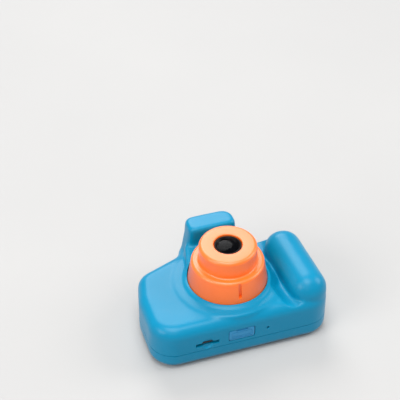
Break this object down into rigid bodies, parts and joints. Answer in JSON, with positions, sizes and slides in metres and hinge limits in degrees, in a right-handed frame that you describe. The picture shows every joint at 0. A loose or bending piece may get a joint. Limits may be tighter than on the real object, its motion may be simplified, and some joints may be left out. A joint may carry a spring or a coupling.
{
  "type": "kids digital camera",
  "caption": "Toy digital camera with a two-tier lens barrel, prism-style hump, fat side grip, back screen and keypad, push buttons, port flap and memory card.",
  "frame": {"origin": "middle of the camera's footprint, on the surface its flat back rests on", "axes": "+Z out of the lens, +Y towards the camera's top (the hump), +X towards the fat grip"},
  "size_m": [0.094, 0.064, 0.0495],
  "materials": {
    "body_blue": "moulded ABS, satin",
    "barrel_orange": "moulded ABS, satin",
    "key_orange": "moulded ABS, satin",
    "lens_black": "polished acrylic, black printed",
    "screen_black": "polished acrylic, black printed",
    "inner_black": "moulded, matt",
    "lens_glass": "polished",
    "board_green": "solder mask",
    "cell_silver": "foil",
    "steel": "plated",
    "rubber_blue": "soft matt",
    "silicone_grey": "soft matt",
    "card_black": "moulded",
    "light_clear": "clear acrylic",
    "ribbon_amber": "polyimide film"
  },
  "bodies": {
    "camera_body": {"front_cover": "body_blue", "rear_cover": "body_blue", "lens_barrel": "barrel_orange", "lens_window": "lens_black", "lens_hood": "inner_black", "lens_module": "inner_black", "lens_element": "lens_glass", "sensor_board": "board_green", "sensor_ribbon": "ribbon_amber", "screen_window": "screen_black", "screen_gasket": "silicone_grey", "lcd_panel": "cell_silver", "keypad_membrane": "silicone_grey", "main_board": "board_green", "main_chip": "inner_black", "usb_port": "steel", "card_socket": "steel", "battery": "cell_silver", "speaker": "inner_black", "microphone": "steel", "indicator_light": "light_clear", "shutter_switch": "inner_black", "power_switch": "inner_black", "strap_bar": "steel", "case_screw_1": "steel", "case_screw_2": "steel", "case_screw_3": "steel", "case_screw_4": "steel", "barrel_screw_1": "steel", "barrel_screw_2": "steel", "barrel_screw_3": "steel", "board_screw_1": "steel", "board_screw_2": "steel"},
    "shutter_button": {"shutter_button": "key_orange"},
    "power_button": {"power_button": "key_orange"},
    "key_up": {"key_up": "key_orange"},
    "key_down": {"key_down": "key_orange"},
    "key_left": {"key_left": "key_orange"},
    "key_right": {"key_right": "key_orange"},
    "key_ok": {"key_ok": "key_orange"},
    "key_menu": {"key_menu": "key_orange"},
    "key_play": {"key_play": "key_orange"},
    "port_cover": {"port_cover": "rubber_blue"},
    "memory_card": {"memory_card": "card_black"}
  },
  "joints": [
    {"name": "shutter_press", "type": "slide", "parent": "camera_body", "child": "shutter_button", "axis": [0.3528, -0.9357, 0], "range_m": [0, 0.0012], "stiffness_N_per_m": 250},
    {"name": "power_press", "type": "slide", "parent": "camera_body", "child": "power_button", "axis": [-0.1356, -0.9908, 0], "range_m": [0, 0.001], "stiffness_N_per_m": 250},
    {"name": "key_up_press", "type": "slide", "parent": "camera_body", "child": "key_up", "axis": [0, 0, 1], "range_m": [0, 0.0008], "stiffness_N_per_m": 200},
    {"name": "key_down_press", "type": "slide", "parent": "camera_body", "child": "key_down", "axis": [0, 0, 1], "range_m": [0, 0.0008], "stiffness_N_per_m": 200},
    {"name": "key_left_press", "type": "slide", "parent": "camera_body", "child": "key_left", "axis": [0, 0, 1], "range_m": [0, 0.0008], "stiffness_N_per_m": 200},
    {"name": "key_right_press", "type": "slide", "parent": "camera_body", "child": "key_right", "axis": [0, 0, 1], "range_m": [0, 0.0008], "stiffness_N_per_m": 200},
    {"name": "key_ok_press", "type": "slide", "parent": "camera_body", "child": "key_ok", "axis": [0, 0, 1], "range_m": [0, 0.0008], "stiffness_N_per_m": 200},
    {"name": "key_menu_press", "type": "slide", "parent": "camera_body", "child": "key_menu", "axis": [0, 0, 1], "range_m": [0, 0.0008], "stiffness_N_per_m": 200},
    {"name": "key_play_press", "type": "slide", "parent": "camera_body", "child": "key_play", "axis": [0, 0, 1], "range_m": [0, 0.0008], "stiffness_N_per_m": 200},
    {"name": "port_cover_hinge", "type": "hinge", "parent": "camera_body", "child": "port_cover", "pos_m": [-0.002, -0.03195, 0.0113], "axis": [1, 0, 0], "range_deg": [0, 110]},
    {"name": "card_slide", "type": "slide", "parent": "camera_body", "child": "memory_card", "axis": [0, -1, 0], "range_m": [0, 0.013]}
  ]
}
